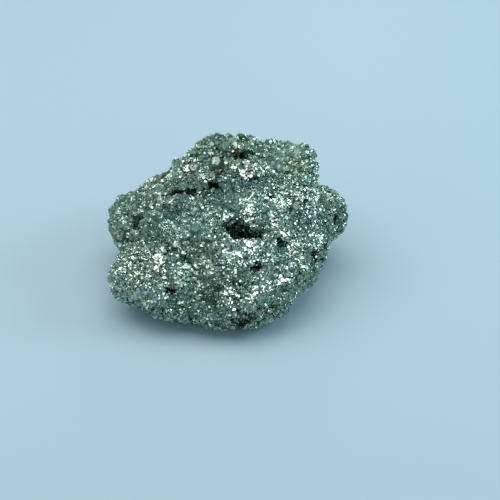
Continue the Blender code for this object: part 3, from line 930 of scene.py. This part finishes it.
def makeSmallCrystals(body, depths, hollowShade, large, variantNumbers, rng):
    v = crystalValues
    places, normals, nearest, triesPerMm2 = scatterPlaces(body, rng)
    smallSize, largeNumber, largeSize, dull, warm, bright = zoneValues(places)
    depth = depths[nearest]
    isLarge = rng.random(len(places)) < largeNumber / triesPerMm2
    isLarge &= depth < v["largeWhere"]
    smallSizes = smallSize * rng.uniform(*v["smallRange"], len(places))
    largeSizes = largeSize * rng.uniform(*v["largeRange"], len(places))
    sizes = np.where(isLarge, largeSizes, smallSizes) * (1 - (1 - v["leastInPit"]) * depth)
    kept = keepApart(places, sizes, isLarge, list(zip(large["centre"], large["half"] * 2)), rng)
    emptied = (depth[kept] > v["emptiedFrom"]) & (rng.random(len(kept)) < v["emptied"])
    emptied |= rng.random(len(kept)) < hollowShade[nearest[kept]] * v["emptiedInHollow"]
    kept = kept[(places[kept, 2] > v["lowest"]) & ~emptied]
    print("crystals kept:", len(kept))
    places, normals, depth = places[kept], normals[kept], depth[kept]
    dull, warm, bright = dull[kept], warm[kept], bright[kept]
    count = len(kept)
    half = sizes[kept] / 2
    least, most = v["lift"]
    lift = half * rng.uniform(least, most - v["dullLift"] * dull)
    lift -= np.maximum(0, half - v["sinkAbove"]) * v["sinkShare"]
    centre = places + normals * lift[:, None]
    room = v["overTheBox"] - half[:, None] * v["reach"]
    low, high = (np.array(corner) / mm for corner in cadBox)
    clean = rng.random(count) < np.interp(dull, (0, 1), v["cleanShare"])
    paintedGlintAndShade, turned = accentValues(places)
    clean |= rng.random(count) < turned
    turn = patchTurns(places, normals, half, turned, rng)
    paintedPitShade = depth * rng.uniform(*v["pitShades"], count)
    variant = chooseVariants(half, variantNumbers, rng)
    # tone: drawn at random, plus each zone's brightness (partly painted light and shade), plus the
    # accents' painted highlights and painted shade
    tone = rng.beta(*v["toneSpread"], count) + bright + paintedGlintAndShade + v["cleanTone"] * clean * dull
    brass = warm * rng.random(count) * v["brassSpread"]
    tarnish = dull * rng.uniform(*v["tarnishSpread"], count) * ~clean
    broken = np.interp(half, v["brokenAt"], (v["mostBroken"], v["leastBroken"]))
    return {
        "centre": np.clip(centre, low - room, high + room),
        "turn": turn,
        "outward": normals,
        "above": lift / half,
        "half": half,
        "depth": paintedPitShade,
        "variant": variant,
        "values": np.stack((tone, brass, tarnish, broken), axis=1),
    }


def makeCrystals(body, depths, hollowShade, material):
    rng = np.random.default_rng(crystalValues["seed"])
    forms = makeForms(rng)
    variantNumbers = {}
    number = 0
    for name, shapes in forms.items():
        variantNumbers[name] = list(range(number, number + len(shapes)))
        number += len(shapes)
    large = makeLargeCrystals(body, variantNumbers, rng)
    crystals = makeSmallCrystals(body, depths, hollowShade, large, variantNumbers, rng)
    total = joinCrystals("largeCrystals", large, forms, material, rng)
    centres = np.array(list(regions.values()))
    region = np.argmin(np.linalg.norm(crystals["centre"][:, None] - centres[None], axis=2), axis=1)
    for number, name in enumerate(regions):
        own = {key: values[region == number] for key, values in crystals.items()}
        total += joinCrystals(name, own, forms, material, rng)
    print("crystal triangles in all:", total)


# Floor, sky and lights

stageValues = {
    "floorSize": 3.0,  # m
    "floorColour": (0.455, 0.572, 0.655, 1),
    "floorRoughness": 0.6,
    "skyColour": (0.57, 0.92, 1.0, 1),
    "skyStrength": 0.35,
    "lightsAim": (0, 0, 0.01),  # m
}

lights = {  # place in m, size in m, power in W, colour
    "keyBox": ((-0.22, 0.12, 0.34), 0.30, 0.60, (1, 1, 1)),
    "topBox": ((0.05, 0.10, 0.42), 0.32, 0.75, (1, 1, 1)),
    "frontBox": ((0.16, -0.30, 0.30), 0.14, 0.03, (1, 1, 1)),
    "rightBox": ((0.36, 0.06, 0.20), 0.16, 0.56, (0.75, 0.95, 1)),
    "backBox": ((0.06, 0.42, 0.18), 0.14, 0.12, (1, 1, 1)),
    "leftBox": ((-0.36, -0.12, 0.16), 0.14, 0.10, (1, 1, 1)),
}


def makeStage():
    v = stageValues
    deselectAll()
    bpy.ops.mesh.primitive_plane_add(size=v["floorSize"])
    floor = bpy.context.object
    floor.name = "floor"
    material = bpy.data.materials.new("paleFloor")
    material.use_nodes = True
    shader = material.node_tree.nodes["Principled BSDF"]
    shader.inputs["Base Color"].default_value = v["floorColour"]
    shader.inputs["Roughness"].default_value = v["floorRoughness"]
    floor.data.materials.append(material)
    world = bpy.data.worlds.new("sky")
    world.use_nodes = True
    sky = world.node_tree.nodes["Background"]
    sky.inputs["Color"].default_value = v["skyColour"]
    sky.inputs["Strength"].default_value = v["skyStrength"]
    bpy.context.scene.world = world
    for name, (place, size, power, colour) in lights.items():
        bpy.ops.object.light_add(type="AREA", location=place)
        light = bpy.context.object
        light.name = name
        beam = Vector(v["lightsAim"]) - Vector(place)
        light.rotation_euler = beam.to_track_quat("-Z", "Y").to_euler()
        light.data.size = size
        light.data.energy = power
        light.data.color = colour
    bpy.context.scene.view_settings.view_transform = "Standard"
    print("stage made")


cameraPlace = makeCamera()
pyriteMaterial = makePyriteMaterial(makeTintGroup(), makeGrainGroup())
body, hollowShade = makeBody()
# how shut in each point is, with the hollows' painted shade added: it sets painted shade and the
# crystals' sizes
depths = np.clip(shutIn(body) + hollowShade, 0, 1)
finishBody(body, depths, pyriteMaterial)
makeCrystals(body, depths, hollowShade, pyriteMaterial)
makeStage()
